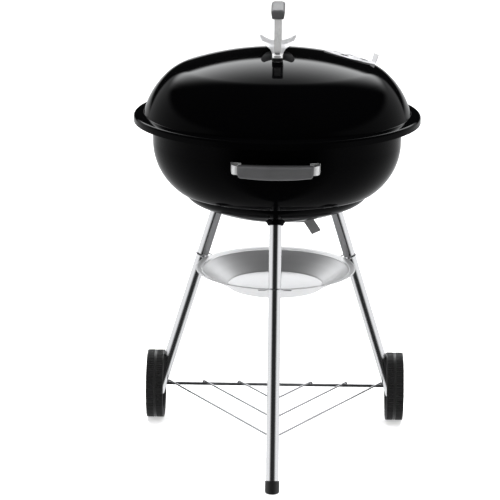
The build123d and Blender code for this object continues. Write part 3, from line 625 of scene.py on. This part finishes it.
class GRILL_OT_lid_handle(bpy.types.Operator):
    """Shape the lid's grip, and finish its strap, feet, bolts and heat shield"""

    bl_idname = "grill.lid_handle"
    bl_label = "Lid handle"

    def execute(self, context):
        low, high = (Vector(v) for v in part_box("lid_handle_grip"))
        half, wide = (high.y - low.y) / 2, (high.x - low.x) / 2
        ends = [(0.05 * (1 - cos(a)), 0.0045 * (1 - sin(a))) for a in steps(0, pi / 2, 5)]
        rings = []
        for share, inset in ([(near - 1, inset) for near, inset in ends]
                             + [(share, 0.0) for share in steps(-0.93, 0.93, 20)]
                             + [(1 - near, inset) for near, inset in reversed(ends)]):
            top = high.z - 0.0062 * share ** 2
            ring = round_box(wide - inset, low.z + inset * 0.6, top - inset, (0.0035, 0.0065), 6)
            # the sides draw in towards the bottom
            rings.append([(x * (0.86 + 0.14 * min(1, (z - low.z) / 0.014)), share * half, z) for x, z in ring])
        grip = lofted("lid_grip", rings, Matrix.Translation((0, (low.y + high.y) / 2, 0)))
        fit(grip, "lid", "grey_nylon", "lid_handle_grip")
        dress(finish("black_plastic"), "lid_handle_grip_insert", "handle_foot_front", "handle_foot_rear")
        dress(finish("handle_steel"), "lid_handle_strap", "handle_washer_front", "handle_washer_rear")
        dress(finish("vent_sheet"), "heat_shield")
        dress(finish("plated_steel"), "lid_handle_bolts")
        return {"FINISHED"}


class GRILL_OT_side_handles(bpy.types.Operator):
    """Shape the two bowed grips on the bowl, and finish their straps"""

    bl_idname = "grill.side_handles"
    bl_label = "Side handles"

    def execute(self, context):
        bow = context.scene.grill_sizes.grip_bow
        for name, sign in (("front", -1), ("rear", 1)):
            low, high = (Vector(v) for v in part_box(f"side_grip_{name}"))
            half, thick, mid_y = (high.x - low.x) / 2, (high.y - low.y) / 2, (low.y + high.y) / 2
            rings = []
            ends = [(1 - 0.08 * (1 - sin(a)), 1 - cos(a)) for a in steps(pi / 2, 0, 6)]
            for share, close in ([(-s, c) for s, c in ends] + [(s, 0.0) for s in steps(-0.9, 0.9, 24)]
                                 + [(s, c) for s, c in reversed(ends)]):
                bottom = low.z + bow * share ** 2 + 0.012 * close
                inset = 0.0034 * close
                crown = 0.0012 * (1 - share ** 2)
                ring = round_box(thick - inset, bottom, high.z - inset,
                                 (0.005 - inset, 0.0035 - inset * 0.6), 6)
                rings.append([(share * half, mid_y + sign * (y + (crown if y > 0 else 0)), z)
                              for y, z in ring])
            grip = lofted(f"bowl_grip_{name}", rings)
            fit(grip, "frame", "grey_nylon", f"side_grip_{name}")
        dress(finish("handle_steel"), "side_strap_front", "side_strap_rear")
        dress(finish("plated_steel"), "side_handle_bolts")
        return {"FINISHED"}


class GRILL_OT_grates(bpy.types.Operator):
    """Finish the cooking grate and the charcoal grate"""

    bl_idname = "grill.grates"
    bl_label = "Grates"

    def execute(self, context):
        dress(finish("grate_steel"), "cooking_grate", "charcoal_grate")
        return {"FINISHED"}


# straight back from the main camera and a little down: the room's light is laid out around it
AWAY = (0, 0.965, -0.262)


class GRILL_OT_stage(bpy.types.Operator):
    """Lay the pale floor, and set the soft lights and the camera"""

    bl_idname = "grill.stage"
    bl_label = "Studio stage"

    def panel_light(self, name, place, aim, size, power):
        data = bpy.data.lights.new(name, "AREA")
        data.shape, (data.size, data.size_y), data.energy = "RECTANGLE", size, power
        light = bpy.data.objects.new(name, data)
        light.location = place
        light.visible_glossy = False
        light.rotation_euler = (Vector(aim) - Vector(place)).to_track_quat("-Z", "Y").to_euler()
        bpy.context.scene.collection.objects.link(light)

    def room(self, scene, stage):
        """Soft light of a studio: pale low walls with a dark flag in front, and a glow high behind."""
        world = bpy.data.worlds.new("studio")
        scene.world = world
        world.use_nodes = True
        tree = world.node_tree
        background = tree.nodes["Background"]
        wires = Nodes(tree)
        way = wires.node("ShaderNodeTexCoord", output="Generated")

        def towards(*aim):
            return wires.node("ShaderNodeVectorMath", {"operation": "DOT_PRODUCT"},
                              {0: way, 1: aim}, "Value")

        def ease(value, start, end, low=0.0, high=1.0):
            return wires.node("ShaderNodeMapRange", {"interpolation_type": "SMOOTHSTEP"},
                              {"Value": value, "From Min": start, "From Max": end,
                               "To Min": low, "To Max": high})

        up, back, front = towards(0, 0, 1), towards(*AWAY), towards(0, -1, 0)
        level = (1 - up * up) ** 0.5
        flag = ease(front / level, 0.45, 0.88, 1.0, stage.flag)
        low, below = ease(up, 0.30, 0.42, 1.0, 0.0), ease(up, -0.05, 0.05, 1.0, 0.0)
        aside = ease(back, 0.80, 0.75)
        walls = low * flag * (below + aside - below * aside)
        side = towards(1, 0, 0)
        middle = ease(side * side, 0.15, 0.45, 1.0, 0.0)
        glow = (1 - low) * aside * middle * (ease(back, 0.10, 0.80) ** 2.6)
        band = walls * stage.walls + glow * stage.glow + 0.01
        background.inputs["Color"].default_value = (*stage.room, 1)
        tree.links.new(band.socket, background.inputs["Strength"])

    def execute(self, context):
        scene, stage = context.scene, context.scene.grill_stage

        def disc(shape):
            bmesh.ops.create_circle(shape, cap_ends=True, segments=96, radius=14)

        floor = new_piece("floor", disc)
        paper = Finish("pale_floor", Roughness=0.75, Specular_IOR_Level=0.1,
                       Emission_Strength=stage.floor_glow)
        paper.shader.inputs["Emission Color"].default_value = (*stage.floor, 1)
        tone = tuple(stage.floor)
        paper.feed("Base Color", paper.tint(paper.noise(3.0, 2.0), shade(tone, 0.985), tone))
        floor.data.materials.append(paper.material)
        floor.visible_glossy = False

        self.room(scene, stage)
        power = stage.light
        self.panel_light("overhead", (0, 0, 4.2), (0, 0, 0), (3.6, 3.6), 330 * power)
        self.panel_light("left_wall", (-3.2, -0.8, 1.6), (0, 0, 0.5), (1.2, 2.6), 50 * power)
        self.panel_light("right_wall", (3.2, -0.8, 1.6), (0, 0, 0.5), (1.2, 2.6), 50 * power)

        camera = bpy.data.objects.new("camera", bpy.data.cameras.new("camera"))
        camera.data.lens, camera.data.sensor_width = stage.lens, 36
        camera.matrix_world = (Matrix.Translation((0.0365, KETTLE.y - 4.4999, 1.6382))
                               @ Matrix.Rotation(0.02, 4, "Z") @ Matrix.Rotation(1.3053, 4, "X")
                               @ Matrix.Rotation(0.0073, 4, "Z"))
        scene.collection.objects.link(camera)
        scene.camera = camera
        scene.view_settings.view_transform = "Standard"
        return {"FINISHED"}


class GrillSizes(bpy.types.PropertyGroup):
    turn_steps: IntProperty(name="Turning steps", description="Facets round each turned shell",
                            default=288, min=48)
    ribs: IntProperty(name="Tread ribs", description="Ribs round each wheel", default=96, min=12)
    rib_depth: FloatProperty(name="Rib depth", description="How deep the tread ribs are cut",
                             default=0.0012, unit="LENGTH", precision=4)
    grip_bow: FloatProperty(name="Grip bow", description="How far a bowl grip's middle hangs below its ends",
                            default=0.0046, unit="LENGTH", precision=4)
    dish_bead: FloatProperty(name="Dish bead", description="Height of the bead inside the ash dish's flange",
                             default=0.0011, unit="LENGTH", precision=4)


def colour(name, description, default):
    return FloatVectorProperty(name=name, description=description, default=default, size=3, min=0, max=1,
                               subtype="COLOR")


class GrillFinishes(bpy.types.PropertyGroup):
    enamel: colour("Enamel", "Porcelain enamel of the lid and the bowl", (0.0006, 0.0006, 0.0007))
    tube: colour("Leg tube", "Bright plated legs", (0.82, 0.82, 0.83))
    plating: colour("Plating", "Shelf wires, axle and bolts", (0.40, 0.40, 0.41))
    spring: colour("Spring wire", "Clips and grates", (0.62, 0.62, 0.63))
    strap: colour("Strap", "Steel straps of the handles", (0.5, 0.5, 0.5))
    aluminium: colour("Aluminium", "Ash dish, vents and heat shield", (0.80, 0.80, 0.81))
    lever: colour("Lever", "Painted lever of the bottom vent", (0.16, 0.16, 0.16))
    nylon: colour("Nylon", "Moulded grips", (0.06, 0.06, 0.062))
    plastic: colour("Black plastic", "Foot cap, hub caps and handle feet", (0.010, 0.010, 0.010))
    wheel: colour("Wheel", "Moulded wheels", (0.013, 0.013, 0.013))


class GrillStage(bpy.types.PropertyGroup):
    floor: colour("Floor", "Pale floor", (0.93, 0.93, 0.93))
    room: colour("Room", "Light of the room round the stage", (0.98, 0.99, 1.0))
    walls: FloatProperty(name="Walls", description="Brightness of the low walls", default=1.0, min=0)
    glow: FloatProperty(name="Glow", description="Brightness of the glow high behind", default=9.0, min=0)
    flag: FloatProperty(name="Front flag", description="Share of the walls' light left in front",
                        default=0.02, min=0)
    floor_glow: FloatProperty(name="Floor glow", description="Light of the floor's own",
                              default=0.5, min=0)
    light: FloatProperty(name="Light", description="Strength of all the lamps together",
                         default=1.0, min=0)
    lens: FloatProperty(name="Lens", description="Focal length in millimetres", default=162.0, min=10)


OPERATORS = (GRILL_OT_lid, GRILL_OT_bowl, GRILL_OT_tripod, GRILL_OT_wheels, GRILL_OT_shelf,
             GRILL_OT_ash_catcher, GRILL_OT_vents, GRILL_OT_lid_handle, GRILL_OT_side_handles,
             GRILL_OT_grates, GRILL_OT_stage)
GROUPS = {"grill_sizes": GrillSizes, "grill_finishes": GrillFinishes, "grill_stage": GrillStage}


class GRILL_PT_panel(bpy.types.Panel):
    """Sizes, colours and build steps of the grill"""

    bl_idname = "GRILL_PT_panel"
    bl_label = "Kettle Grill"
    bl_space_type = "VIEW_3D"
    bl_region_type = "UI"
    bl_category = "Grill"

    def draw(self, context):
        for group, kind in GROUPS.items():
            box = self.layout.box()
            for name in kind.__annotations__:
                box.prop(getattr(context.scene, group), name)
        for operator in OPERATORS:
            self.layout.operator(operator.bl_idname)


def register():
    for kind in (*GROUPS.values(), *OPERATORS, GRILL_PT_panel):
        bpy.utils.register_class(kind)
    for group, kind in GROUPS.items():
        setattr(bpy.types.Scene, group, PointerProperty(type=kind))


def unregister():
    for group in GROUPS:
        delattr(bpy.types.Scene, group)
    for kind in reversed((*GROUPS.values(), *OPERATORS, GRILL_PT_panel)):
        bpy.utils.unregister_class(kind)


def main():
    register()
    for operator in OPERATORS:
        family, name = operator.bl_idname.split(".")
        if getattr(getattr(bpy.ops, family), name)() != {"FINISHED"}:
            raise RuntimeError(f"{operator.bl_label} did not finish")
    bpy.context.view_layer.update()


if __name__ == "__main__":
    main()
